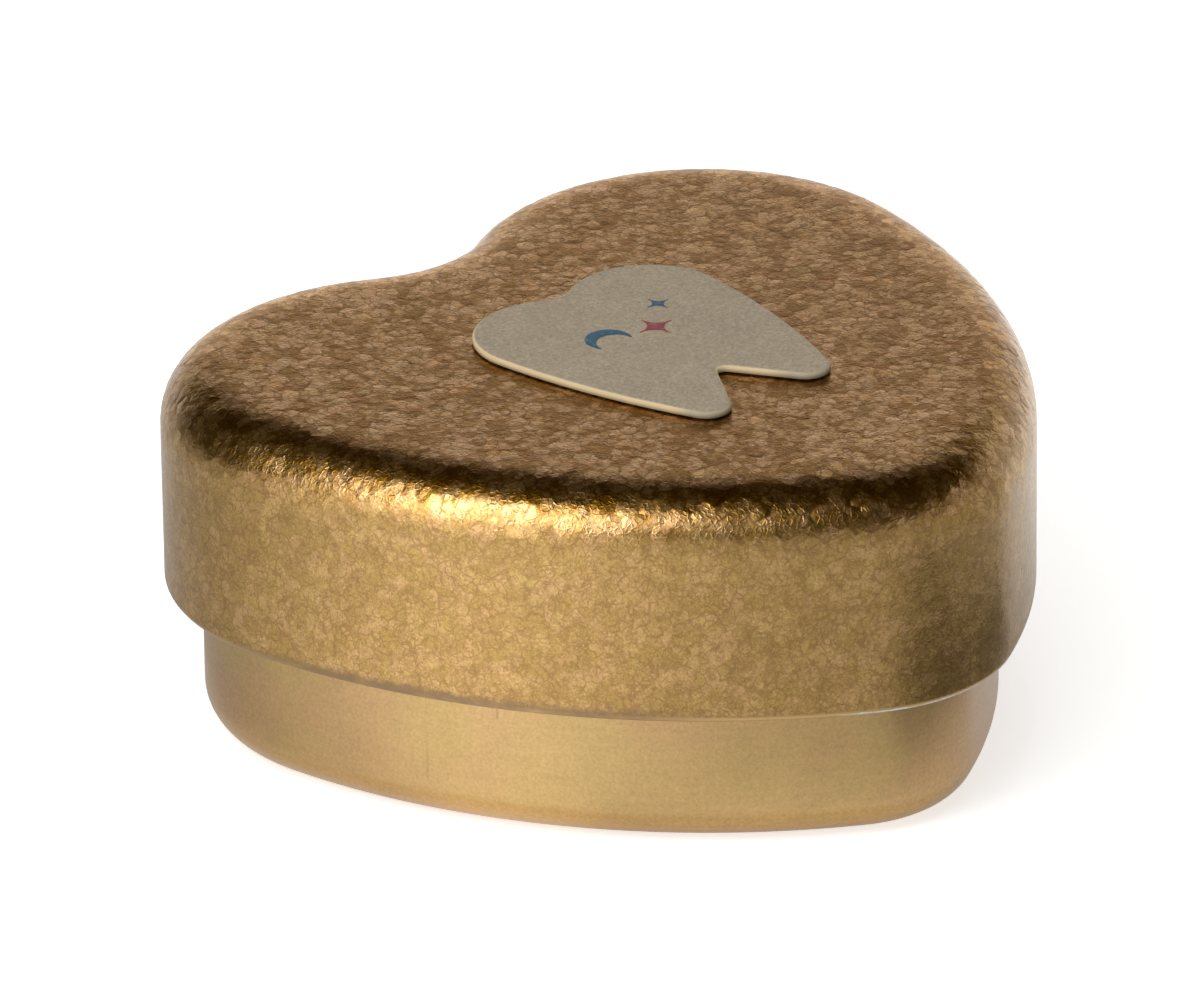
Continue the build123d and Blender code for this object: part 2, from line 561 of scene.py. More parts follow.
class Skin:
    """The lid's mesh as it grows. A vertex knows its place, and a mark on it says what it belongs to."""

    CREASE, FACET, PLAIN = range(3)

    def __init__(self):
        self.places = []
        self.marks = []
        self.faces = []

    def add(self, place, part, tone=0.0, crease=0.0, rise=0.0):
        self.places.append(place)
        self.marks.append((part, tone, crease, rise))
        return len(self.places) - 1

    def cell(self, corners, outline, facing):
        """One cell: a slightly domed and tilted face inside the crease that joins its corners."""
        middle = outline.mean(0)
        spokes = outline - middle
        reach = np.linalg.norm(spokes, axis=1)
        inner = spokes * (1 - np.minimum(crease_half_width / reach, 0.4))[:, None]
        relief = relief_share(facing)
        slope = np.array([random.gauss(0, facet_slope * relief) for _ in range(3)])
        lift = random.gauss(0, facet_step * relief)
        tone = random.gauss(0.8, 0.5) if random.random() < flake_share else random.gauss(-0.7, 0.35)
        heights = inner @ slope + lift
        # The rise mark carries painted dome shading: 1 at the cell's middle, less at its rim and 0 in the crease
        centre = self.add(middle + facing * (lift + facet_dome * relief), self.FACET, tone, 0, 1)
        rim_places = middle + inner + facing * heights[:, None]
        rim = [self.add(place, self.FACET, tone, 0, rim_dome_shade) for place in rim_places]
        for i, corner in enumerate(corners):
            following = (i + 1) % len(corners)
            self.faces.append((centre, rim[i], rim[following]))
            self.faces.append((rim[i], corner, corners[following], rim[following]))

    def hammered(self, cells):
        """Adds the hammered face, and returns the vertices round the skirt's foot."""
        levels = list(cells.middles)
        for place, facing in zip(cells.middles, cells.middle_facings):
            share = random.random() ** 1.5
            depth = crease_depth * share * relief_share(facing)
            self.add(place - facing * depth, self.CREASE, crease=share)
        foot = {}

        def foot_vertex(seed, other):
            key = (min(seed, other), max(seed, other))
            if key not in foot:
                levels.append((cells.places[seed] + cells.places[other]) / 2)
                foot[key] = self.add(levels[-1], self.CREASE)
            return foot[key]

        for i in range(len(cells.foot_ways)):
            seed = cells.foot_first + i
            following = cells.foot_first + (i + 1) % len(cells.foot_ways)
            foot_vertex(seed, seed)
            foot_vertex(seed, following)
        for seed, order, start, end in cells.fans():
            corners = list(order)
            if seed >= cells.foot_first:
                corners += [foot_vertex(seed, end), foot_vertex(seed, seed), foot_vertex(seed, start)]
            self.cell(corners, np.array([levels[corner] for corner in corners]), cells.facings[seed])
        return list(foot.values())

    def rings(self, previous, points, normals, section):
        """Carries the mesh on through plain rings, and closes the last one."""
        for inset, height in section:
            ring = [self.add(place, self.PLAIN) for place in ring_places(points, normals, inset, height)]
            self.faces += ring_faces(previous, ring)
            previous = ring
        self.faces.append(tuple(reversed(previous)))

    def object(self, name):
        made = mesh_object(name, np.array(self.places), self.faces)
        mesh = made.data
        mesh.set_sharp_from_angle(angle=math.radians(40))
        parts = np.array([mark[0] for mark in self.marks])
        ends = np.zeros(len(mesh.edges) * 2, int)
        mesh.edges.foreach_get("vertices", ends)
        ends = parts[ends.reshape(-1, 2)]
        sharp = np.zeros(len(mesh.edges), bool)
        mesh.attributes["sharp_edge"].data.foreach_get("value", sharp)
        sharp &= (ends == self.PLAIN).all(1)
        mesh.attributes["sharp_edge"].data.foreach_set("value", sharp)
        # The rise attribute holds the cells' painted dome shading
        for label, values in (
            ("hammered", (parts != self.PLAIN).astype(float)),
            ("tone", [mark[1] for mark in self.marks]),
            ("crease", [mark[2] for mark in self.marks]),
            ("rise", [mark[3] for mark in self.marks]),
        ):
            mesh.attributes.new(label, "FLOAT", "POINT").data.foreach_set("value", values)
        return made


def lid_inside_section():
    """From the skirt's foot round the hem's fold, over the hem and up to the underside of the top."""
    section = arc_section(hem_outer_radius, lid_rim + hem_outer_radius, hem_outer_radius, 0, -QUARTER, 6)[1:]
    inner_inset = 2 * sheet
    section += arc_section(
        inner_inset - hem_inner_radius, lid_rim + hem_inner_radius, hem_inner_radius, -QUARTER, -QUARTER, 3
    )
    lip = sheet / 5
    hem_top = lid_rim + hem_height
    section += [(inner_inset, hem_top - lip), (inner_inset - lip, hem_top), (sheet, hem_top)]
    for i in np.linspace(len(edge_way) - 1, 0, 14).astype(int):
        section.append((
            edge_inset[i] + sheet * math.sin(edge_tilt[i]),
            lid_top - edge_drop[i] - sheet * math.cos(edge_tilt[i]),
        ))
    section.append((flat_inset + sheet, lid_top - sheet))
    return section


def make_lid():
    cells = Cells()
    skin = Skin()
    foot = skin.hammered(cells)
    following = np.append(cells.foot_ways[1:], heart.length + cells.foot_ways[0])
    foot_ways = np.column_stack([cells.foot_ways, (cells.foot_ways + following) / 2]).ravel()
    skin.rings(foot, *heart.at(foot_ways), lid_inside_section())
    return skin.object("lid")


# Base and plaque


def base_section():
    """From the floor inside, up the wall, round the curl and down the outside to the foot."""
    inner_inset = wall_inset + sheet
    inner_radius = base_corner_radius - sheet
    section = [(inner_inset + inner_radius + sheet, sheet)]
    section += [
        (inner_inset + inner_radius * (1 - math.sin(a)), sheet + inner_radius * (1 - math.cos(a)))
        for a in np.linspace(0, QUARTER, 9)
    ]
    section += arc_section(curl_centre_inset, curl_centre_height, curl_radius, math.pi, -curl_turn, 24)
    hollow = arc_section(curl_centre_inset, curl_centre_height, curl_radius - sheet, math.pi, -curl_turn, 24)
    section += hollow[::-1]
    section += [
        (wall_inset + base_corner_radius * (1 - math.cos(a)), base_corner_radius * (1 - math.sin(a)))
        for a in np.linspace(0, QUARTER, 13)
    ]
    section.append((wall_inset + base_corner_radius + sheet, 0))
    return section


def make_base():
    points, normals = heart.stations(0.35 * MM, math.radians(2.5))
    return loft("base", points, normals, base_section())


def make_plaque():
    points, normals = tooth.stations(0.3 * MM, math.radians(7))
    radius = plaque_edge_radius
    section = [(2 * radius, plaque_high.z)]
    section += [
        (radius * (1 - math.sin(a)), plaque_high.z - radius * (1 - math.cos(a)))
        for a in np.linspace(0, QUARTER, 7)
    ]
    section += [(0, plaque_low.z), (2 * radius, plaque_low.z)]
    return loft("plaque", points, normals, section)


def turned(arcs, angle):
    """Arcs turned about the origin."""
    along, across = direction(angle)
    return [
        (np.array([along * x - across * y, across * x + along * y]), radius, start + angle, end + angle)
        for (x, y), radius, start, end in arcs
    ]


def crescent_arcs():
    """A crescent whose horns point to +X."""
    horn_reach = moon_radius - paint_corner_radius
    hollow_reach = moon_hollow_radius + paint_corner_radius
    hollow = np.array([moon_hollow_shift, 0])
    across = (horn_reach**2 - hollow_reach**2 + moon_hollow_shift**2) / (2 * moon_hollow_shift)
    horn = np.array([across, math.sqrt(horn_reach**2 - across**2)])
    low_horn = horn * [1, -1]
    full = 2 * math.pi
    outside = bearing(horn)
    inside_low = full + bearing(hollow - low_horn)
    inside_high = full + bearing(hollow - horn)
    return [
        (np.zeros(2), moon_radius, outside, full - outside),
        (low_horn, paint_corner_radius, full - outside, inside_low),
        (hollow, -moon_hollow_radius, inside_low, inside_high),
        (horn, paint_corner_radius, inside_high, full + outside),
    ]


def star_arcs(reach):
    """A star of four points with hollow sides between them."""
    point = reach - paint_corner_radius
    waist = reach * star_waist_share - paint_corner_radius
    side = (point**2 - waist**2) / (2 * (point - math.sqrt(2) * waist))
    hollow_radius = math.sqrt(2) * side - waist - paint_corner_radius
    turn = math.atan2(side, side - point)
    arcs = []
    for quarter in range(4):
        angle = quarter * QUARTER
        tip = direction(angle) * point
        hollow = direction(angle + QUARTER / 2) * math.sqrt(2) * side
        arcs.append((tip, paint_corner_radius, angle - turn, angle + turn))
        arcs.append((hollow, -hollow_radius, angle + turn, angle + QUARTER - turn))
    return arcs


def make_painted(name, arcs, middle):
    """A patch of paint on the plaque, with a thin soft edge."""
    points, normals = Outline(arcs).stations(0.1 * MM, math.radians(15))
    thin = paint_thickness
    section = [(1.2 * thin, 1.0), (0.6 * thin, 0.85), (0.1 * thin, 0.4), (0, -0.5)]
    section = [(inset, plaque_high.z + share * thin) for inset, share in section]
    return loft(name, points + middle, normals, section)


# Materials


class Nodes:
    """Short calls for the nodes of one tree."""

    def __init__(self, tree):
        self.tree = tree

    def add(self, kind, inputs=(), **settings):
        made = self.tree.nodes.new("ShaderNode" + kind)
        for name, value in settings.items():
            setattr(made, name, value)
        for socket, value in dict(inputs).items():
            self.feed(made.inputs[socket], value)
        return made

    def feed(self, socket, value):
        if isinstance(value, bpy.types.NodeSocket):
            self.tree.links.new(value, socket)
        elif hasattr(socket.default_value, "__len__"):
            socket.default_value = (*value, 1) if len(socket.default_value) > len(value) else value
        else:
            socket.default_value = value

    def math(self, operation, first, second=0.0, third=0.0):
        return self.add("Math", {0: first, 1: second, 2: third}, operation=operation).outputs[0]

    def product(self, first, *others):
        for other in others:
            first = self.math("MULTIPLY", first, other)
        return first

    def vector(self, operation, first, second=(0, 0, 0)):
        made = self.add("VectorMath", {0: first, 1: second}, operation=operation)
        return made.outputs["Value" if operation in ("DOT_PRODUCT", "LENGTH") else "Vector"]

    def span(self, value, low, high, new_low=0.0, new_high=1.0, soft=False):
        """A value carried from one range to another, and held at its ends."""
        kind = "SMOOTHSTEP" if soft else "LINEAR"
        inputs = {"Value": value, "From Min": low, "From Max": high, "To Min": new_low, "To Max": new_high}
        return self.add("MapRange", inputs, interpolation_type=kind, clamp=True).outputs["Result"]

    def mix(self, share, first, second):
        return self.add("Mix", {0: share, 6: first, 7: second}, data_type="RGBA").outputs[2]

    def times(self, colour, factor):
        """A colour made lighter or darker by a factor."""
        return self.add("VectorMath", {0: colour, "Scale": factor}, operation="SCALE").outputs["Vector"]


class Paint(Nodes):
    """A material's tree, with its surface and the patterns that are laid over it."""

    def __init__(self, name):
        self.material = bpy.data.materials.new(name)
        self.material.use_nodes = True
        super().__init__(self.material.node_tree)
        self.surface = self.tree.nodes["Principled BSDF"]
        coordinates = self.add("TexCoord")
        self.place = coordinates.outputs["Object"]
        self.normal = coordinates.outputs["Normal"]

    def set(self, **values):
        for name, value in values.items():
            self.feed(self.surface.inputs[name.replace("_", " ")], value)

    def attribute(self, name):
        return self.add("Attribute", attribute_name=name).outputs["Fac"]

    def height(self):
        return self.add("SeparateXYZ", {0: self.place}).outputs["Z"]

    def upness(self):
        return self.add("SeparateXYZ", {0: self.normal}).outputs["Z"]

    def stretched(self, size, stretch):
        return self.add("Mapping", {"Vector": self.place, "Scale": [s / size for s in stretch]}).outputs[0]

    def noise(self, size, detail=2.0, roughness=0.5, stretch=(1, 1, 1)):
        place = self.stretched(size, stretch)
        inputs = {"Vector": place, "Scale": 1.0, "Detail": detail, "Roughness": roughness}
        return self.add("TexNoise", inputs).outputs["Fac"]

    def cracks(self, size, width):
        """Thin lines round small cells: 1 on a line and 0 away from it."""
        inputs = {"Vector": self.stretched(size, (1, 1, 1)), "Scale": 1.0}
        found = self.add("TexVoronoi", inputs, feature="DISTANCE_TO_EDGE").outputs["Distance"]
        return self.span(found, 0, width / size, 1, 0, soft=True)

    def flakes(self, size, shake, gap):
        """Ragged flakes: a random share for each one, and 1 in the gaps between them."""
        wander = self.add("TexNoise", {"Vector": self.stretched(size / 2, (1, 1, 1)), "Scale": 1.0, "Detail": 3.0})
        wander = self.times(wander.outputs["Color"], shake)
        inputs = {"Vector": self.vector("ADD", self.stretched(size, (1, 1, 1)), wander), "Scale": 1.0}
        found = self.add("TexVoronoi", inputs, feature="F1").outputs["Color"]
        edge = self.add("TexVoronoi", inputs, feature="DISTANCE_TO_EDGE").outputs["Distance"]
        between = self.span(edge, gap / size / 3, gap / size, 1, 0, soft=True)
        return self.add("SeparateColor", {0: found}).outputs["Red"], between

    def bump(self, height, depth, normal=None):
        inputs = {"Height": height, "Distance": depth, "Strength": 1.0}
        if normal:
            inputs["Normal"] = normal
        return self.add("Bump", inputs).outputs[0]

    def side_share(self, azimuth, low, high):
        """From 0 to 1 towards the side of the tin at an azimuth from the camera's side."""
        level = self.vector("NORMALIZE", self.vector("MULTIPLY", self.place, (1, 1, 0)))
        facing = self.vector("DOT_PRODUCT", level, tuple(from_camera(azimuth)))
        return self.span(facing, math.cos(low), math.cos(high), soft=True)


def from_camera(azimuth, elevation=0.0):
    """The direction at an azimuth from the camera's side, towards its right, and at an elevation."""
    angle = camera_azimuth + azimuth
    return Vector((
        math.sin(angle) * math.cos(elevation), -math.cos(angle) * math.cos(elevation), math.sin(elevation)
    ))


def lid_lacquer():
    """Gold lacquer over tinplate that has crackled into flakes, darker grey-brown in a patchy band along the hem,
    and chipped at the rim.
    """
    paint = Paint("crackled_gold_lacquer")
    tone = paint.attribute("tone")
    crease = paint.attribute("crease")
    hammered = paint.attribute("hammered")
    upness = paint.upness()
    rise = paint.attribute("rise")
    up = paint.span(upness, 0.3, 0.95)
    grain = paint.noise(0.14 * MM, 3.0, 0.8)
    cloud = paint.noise(1.3 * MM, 2.0, 0.6)
    rough = paint.noise(0.35 * MM, 3.0, 0.7)
    share, between = paint.flakes(0.8 * MM, 0.6, 0.06 * MM)
    _, fine_between = paint.flakes(0.38 * MM, 0.5, 0.045 * MM)

    # Painted dome shading: each flake lighter at its middle and darker towards its crease, more so on the top
    flake = paint.math("MULTIPLY_ADD", rise, paint.span(upness, 0.1, 0.95, 0.25, 0.38), -0.06)
    flake = paint.math("MULTIPLY_ADD", tone, 0.15, flake)
    flake = paint.math("MULTIPLY_ADD", share, 0.4, flake)
    flake = paint.math("MULTIPLY_ADD", paint.math("SUBTRACT", cloud, 0.5), 1.3, flake)
    flake = paint.math("MULTIPLY_ADD", paint.math("SUBTRACT", rough, 0.5), 1.2, flake)
    flake = paint.span(flake, 0.06, 0.7, soft=True)
    # Painted shade: the top's ground is darker and more orange than the skirt's, and its light flakes lighter, set
    # by how the surface faces
    ground = paint.mix(up, (0.52, 0.314, 0.1), (0.358, 0.15, 0.0))
    light = paint.mix(up, (0.645, 0.403, 0.15), (0.742, 0.45, 0.207))
    gold = paint.mix(flake, ground, light)
    gold = paint.vector("MULTIPLY", gold, paint.mix(share, (1.0, 1.03, 0.92), (1.0, 0.97, 1.04)))
    rust = paint.product(paint.span(paint.noise(1.8 * MM, 3.0, 0.65), 0.54, 0.66), up)
    gold = paint.vector("MULTIPLY", gold, paint.mix(rust, (1.0, 1.0, 1.0), (1.0, 0.86, 0.6)))
    # Painted reflection colour: a less blue tint over the bent edge, where the dark band of its reflection lies
    bend = paint.product(paint.span(upness, 0.65, 0.85), paint.span(upness, 0.99, 0.93))
    gold = paint.vector("MULTIPLY", gold, paint.mix(bend, (1.0, 1.0, 1.0), (1.0, 1.02, 0.78)))
    # Painted shade: the top darker and warmer on the side away from the key, to the camera's right and back
    right_back_shade = paint.side_share(math.radians(130), math.radians(80), math.radians(30))
    right_back_shade = paint.product(right_back_shade, up)
    gold = paint.vector("MULTIPLY", gold, paint.mix(right_back_shade, (1.0, 1.0, 1.0), (0.9, 0.87, 0.79)))
    level = paint.math("MULTIPLY_ADD", paint.math("SUBTRACT", grain, 0.5), 1.6, 1.0)
    level = paint.math("MULTIPLY_ADD", paint.math("SUBTRACT", cloud, 0.5), 0.2, level)
    side = paint.side_share(math.radians(84), math.radians(30), math.radians(12))
    uneven = paint.product(paint.math("SUBTRACT", flake, 0.5), side, paint.math("SUBTRACT", 1.0, up), 0.25)
    gold = paint.times(gold, paint.math("ADD", level, uneven))

    broken = paint.span(paint.noise(0.8 * MM, 2.0), 0.36, 0.56)
    worn = paint.span(paint.noise(0.5 * MM, 2.0), 0.45, 0.6)
    gap = paint.product(paint.math("MAXIMUM", between, paint.span(crease, 0.25, 0.8)), broken)
    gap = paint.math("MAXIMUM", gap, paint.product(fine_between, worn, paint.span(up, 0, 1, 1.0, 0.45)))
    gap = paint.product(gap, paint.span(upness, 0.1, 0.95, 0.64, 0.75))
    gold = paint.mix(gap, gold, paint.mix(up, (0.34, 0.18, 0.05), (0.22, 0.09, 0.0)))
    plain = paint.times((0.62, 0.42, 0.17), paint.math("MULTIPLY_ADD", grain, 0.2, 0.9))
    gold = paint.mix(hammered, plain, gold)

    height = paint.height()
    # A patchy, darker grey-brown band along the hem, on the side facing the camera and to its left
    ragged = paint.noise(0.5 * MM, 3.0, 0.6)
    hem_edge = paint.math("MULTIPLY_ADD", ragged, 0.6 * MM, lid_rim + 0.4 * MM)
    under_hem_band = paint.span(paint.math("SUBTRACT", hem_edge, height), -0.25 * MM, 0.2 * MM, soft=True)
    side = paint.side_share(math.radians(-32), math.radians(40), math.radians(18))
    hem_band_patchiness = paint.span(paint.noise(2.5 * MM, 3.0, 0.7), 0.3, 0.6, 0.45, 0.9)
    gold = paint.mix(paint.product(under_hem_band, side, hem_band_patchiness), gold, (0.27, 0.172, 0.085))

    chip_edge = paint.math("MULTIPLY_ADD", paint.noise(1.0 * MM, 3.0, 0.7), 0.45 * MM, lid_rim - 0.01 * MM)
    chipped = paint.span(paint.math("SUBTRACT", chip_edge, height), -0.02 * MM, 0.02 * MM, soft=True)
    side = paint.side_share(math.radians(38), math.radians(15), math.radians(11))
    gold = paint.mix(paint.product(chipped, side), gold, (0.70, 0.78, 0.88))

    lines = paint.product(paint.cracks(0.32 * MM, 0.07 * MM), paint.span(paint.noise(0.6 * MM), 0.36, 0.56))
    relief = paint.bump(paint.noise(0.5 * MM, 1.0), 0.006 * MM)
    crinkle = paint.product(paint.span(upness, 0.35, 0.6), paint.span(upness, 0.995, 0.93))
    crinkle = paint.math("MULTIPLY_ADD", crinkle, 0.5, 1.0)
    relief = paint.bump(paint.product(lines, hammered, crinkle), 0.006 * MM, relief)
    relief = paint.bump(grain, 0.005 * MM, relief)
    paint.set(
        Metallic=1.0,
        Base_Color=gold,
        Roughness=paint.math("MULTIPLY_ADD", cloud, 0.12, 0.24),
        Specular_Tint=(1.0, 0.96, 0.9),
        Coat_Weight=paint.span(upness, 0.7, 0.95, 0.6, 0.1),
        Coat_Roughness=0.2,
        Normal=relief,
    )
    return paint.material


def scuff(paint, middle, normal, low, high, half_width):
    """A mark of the tool up the base's wall, at a place in plan and between two heights."""
    away = paint.vector("SUBTRACT", paint.place, (*middle, 0))
    aside = paint.vector("DOT_PRODUCT", away, (-normal[1], normal[0], 0))
    near = paint.span(paint.math("ABSOLUTE", aside), half_width / 2, half_width, 1, 0, soft=True)
    outside = paint.span(paint.vector("DOT_PRODUCT", away, (*normal, 0)), -1 * MM, -0.5 * MM)
    height = paint.height()
    between = paint.product(
        paint.span(height, low, low + 0.4 * MM), paint.span(height, high, high - 0.4 * MM)
    )
    return paint.product(near, outside, between)


def base_lacquer():
    """Smooth satin gold with faint streaks up the wall, warmer round the foot, and two scuffs."""
    paint = Paint("satin_gold_lacquer")
    grain = paint.noise(0.2 * MM, 3.0, 0.8)
    cloud = paint.noise(4 * MM, 3.0, 0.6)
    streak = paint.noise(0.5 * MM, 2.0, 0.6, (1, 1, 0.05))
    level = paint.math("MULTIPLY_ADD", paint.math("SUBTRACT", grain, 0.5), 0.7, 1.0)
    level = paint.math("MULTIPLY_ADD", paint.math("SUBTRACT", streak, 0.5), 0.08, level)
    level = paint.math("MULTIPLY_ADD", paint.math("SUBTRACT", cloud, 0.5), 0.2, level)
    polish = paint.noise(0.3 * MM, 2.0, 0.6, (0.12, 0.12, 1))
    level = paint.math("MULTIPLY_ADD", paint.math("SUBTRACT", polish, 0.5), 0.16, level)
    hue = paint.span(paint.noise(6 * MM, 2.0), 0.4, 0.6)
    gold = paint.mix(hue, (0.645, 0.44, 0.175), (0.655, 0.415, 0.185))
    edge = paint.math("MULTIPLY_ADD", cloud, 0.6 * MM, base_corner_radius * 0.68)
    foot = paint.span(paint.math("SUBTRACT", edge, paint.height()), -0.25 * MM, 0.25 * MM, soft=True)
    gold = paint.mix(foot, gold, (0.60, 0.375, 0.135))
    gold = paint.times(gold, level)
    long_scuff = scuff(
        paint, np.array([-20.1, -1.73]) * MM, (-0.92, -0.392), base_corner_radius, 9 * MM, 0.1 * MM
    )
    short_scuff = scuff(paint, np.array([-18.25, -5.5]) * MM, (-0.873, -0.488), 6.8 * MM, 8 * MM, 0.08 * MM)
    marks = paint.math("MAXIMUM", long_scuff, short_scuff)
    gold = paint.mix(paint.product(marks, paint.span(streak, 0.3, 0.6), 0.45), gold, (0.34, 0.23, 0.09))
    relief = paint.bump(cloud, 0.02 * MM)
    relief = paint.bump(streak, 0.002 * MM, relief)
    relief = paint.bump(grain, 0.0015 * MM, relief)
    paint.set(
        Metallic=1.0,
        Base_Color=gold,
        Roughness=paint.math("MULTIPLY_ADD", cloud, 0.1, 0.3),
        Specular_Tint=(1.0, 0.96, 0.97),
        Coat_Weight=0.55,
        Coat_Roughness=0.15,
        Normal=relief,
    )
    return paint.material


def plaque_enamel():
    """Matt pale enamel: its top grey-beige, painted in shade, and its sides cream, partly their own colour and
    partly painted light.
    """
    paint = Paint("matt_enamel")
    grain = paint.noise(0.2 * MM, 3.0, 0.8)
    cloud = paint.noise(2.4 * MM, 3.0, 0.6)
    level = paint.math("MULTIPLY_ADD", paint.math("SUBTRACT", grain, 0.5), 1.5, 1.0)
    level = paint.math("MULTIPLY_ADD", paint.math("SUBTRACT", cloud, 0.5), 0.25, level)
    # Painted shade: the top is grey-beige, darker than the enamel's own pale colour; the cream sides are lighter,
    # partly from painted light
    flat = paint.times((0.39, 0.325, 0.235), level)
    face = paint.span(paint.upness(), 0.75, 0.999, soft=True)
    # Painted shade: the sides darken towards their foot, where the plaque meets the film and the lid
    low = paint.span(paint.height(), plaque_low.z, plaque_low.z + 0.18 * MM, 0.4, 1.0)
    # Painted shade: the sides turn grey-green towards the root tips
    along = paint.add("SeparateXYZ", {0: paint.place}).outputs["Y"]
    tip = paint.span(along, plaque_low.y + 1.0 * MM, plaque_low.y + 2.4 * MM, 1.0, 0.0, soft=True)
    edge = paint.mix(tip, (0.72, 0.59, 0.36), (0.46, 0.41, 0.29))
    paint.set(
        Base_Color=paint.mix(face, paint.times(edge, low), flat),
        Roughness=paint.math("MULTIPLY_ADD", grain, 0.2, 0.5),
        Specular_IOR_Level=0.3,
        Normal=paint.bump(grain, 0.004 * MM, paint.bump(cloud, 0.02 * MM)),
    )
    return paint.material


def adhesive_film():
    paint = Paint("adhesive_film")
    cloud = paint.noise(0.4 * MM, 3.0, 0.6)
    paint.set(
        Base_Color=paint.mix(paint.span(cloud, 0.35, 0.65), (0.42, 0.36, 0.25), (0.55, 0.48, 0.34)),
        Roughness=0.45,
        Normal=paint.bump(cloud, 0.01 * MM),
    )
    return paint.material


def motif_paint(name, colour, worn_colour):
    """Paint that has rubbed thin in places."""
    paint = Paint(name)
    grain = paint.noise(0.14 * MM, 3.0, 0.7)
    rubbed = paint.span(paint.noise(0.45 * MM, 2.0), 0.48, 0.66)
    level = paint.math("MULTIPLY_ADD", paint.math("SUBTRACT", grain, 0.5), 0.5, 1.0)
    paint.set(
        Base_Color=paint.times(paint.mix(rubbed, colour, worn_colour), level),
        Roughness=0.6,
        Normal=paint.bump(grain, 0.003 * MM),
    )
    return paint.material


# Stage: the camera, the floor and the light


def make_camera():
    data = bpy.data.cameras.new("camera")
    data.lens = camera_lens
    camera = bpy.data.objects.new("camera", data)
    back = from_camera(0, camera_elevation)
    right = Vector((math.cos(camera_azimuth), math.sin(camera_azimuth), 0))
    up = back.cross(right)
    rolled = Matrix.Rotation(camera_roll, 3, back)
    axes = Matrix((rolled @ right, rolled @ up, back)).transposed()
    camera.matrix_world = Matrix.LocRotScale(camera_aim + back * camera_distance, axes.to_quaternion(), None)
    bpy.context.scene.collection.objects.link(camera)
    bpy.context.scene.camera = camera


def make_lamp(name, towards, distance, size, radiance, roll=0.0, glossy=True):
    """A soft box that faces the tin from a direction. Its radiance is 1 where a mirror would show white."""
    data = bpy.data.lights.new(name, "AREA")
    data.shape = "RECTANGLE"
    data.size, data.size_y = size
    data.energy = radiance * math.pi * size[0] * size[1]
    lamp = bpy.data.objects.new(name, data)
    lamp.location = towards * distance
    lamp.rotation_mode = "QUATERNION"
    lamp.rotation_quaternion = towards.to_track_quat("Z", "Y") @ Quaternion((0, 0, 1), roll)
    lamp.visible_glossy = glossy
    lamp.visible_camera = False
    bpy.context.scene.collection.objects.link(lamp)


def lobe(nodes, level, azimuth, power):
    """A soft share of 1 towards an azimuth from the camera's side, for a level direction."""
    facing = nodes.vector("DOT_PRODUCT", level, tuple(from_camera(azimuth)))
    return nodes.math("POWER", nodes.math("MAXIMUM", facing, 0.0), power)


def make_world():
    """A dim room with a pale band round the horizon, which is brightest on the key's side."""
    world = bpy.data.worlds.new("studio")
    bpy.context.scene.world = world
    world.use_nodes = True
    nodes = Nodes(world.node_tree)
    ray = nodes.add("TexCoord").outputs["Generated"]
    height = nodes.add("SeparateXYZ", {0: ray}).outputs["Z"]
    level = nodes.vector("NORMALIZE", nodes.vector("MULTIPLY", ray, (1, 1, 0)))
    horizon = nodes.math("MULTIPLY_ADD", lobe(nodes, level, key_azimuth, 5.0), key_side_level, horizon_level)
    horizon = nodes.math("MULTIPLY_ADD", lobe(nodes, level, math.pi, 8.0), back_level, horizon)
    top = nodes.math("MULTIPLY_ADD", lobe(nodes, level, left_gap_azimuth, 4.0), -left_gap_depth, band_top)
    top = nodes.math("MULTIPLY_ADD", lobe(nodes, level, right_rise_azimuth, 12.0), right_rise, top)
    top = nodes.math("MULTIPLY_ADD", lobe(nodes, level, far_rise_azimuth, 6.0), far_rise, top)
    share = nodes.span(nodes.math("SUBTRACT", height, top), -0.08, 0.11, 1.0, 0.0, soft=True)
    background = world.node_tree.nodes["Background"]
    room = tuple(room_level * channel for channel in room_colour)
    nodes.feed(background.inputs["Color"], nodes.mix(share, room, nodes.times(horizon_colour, horizon)))


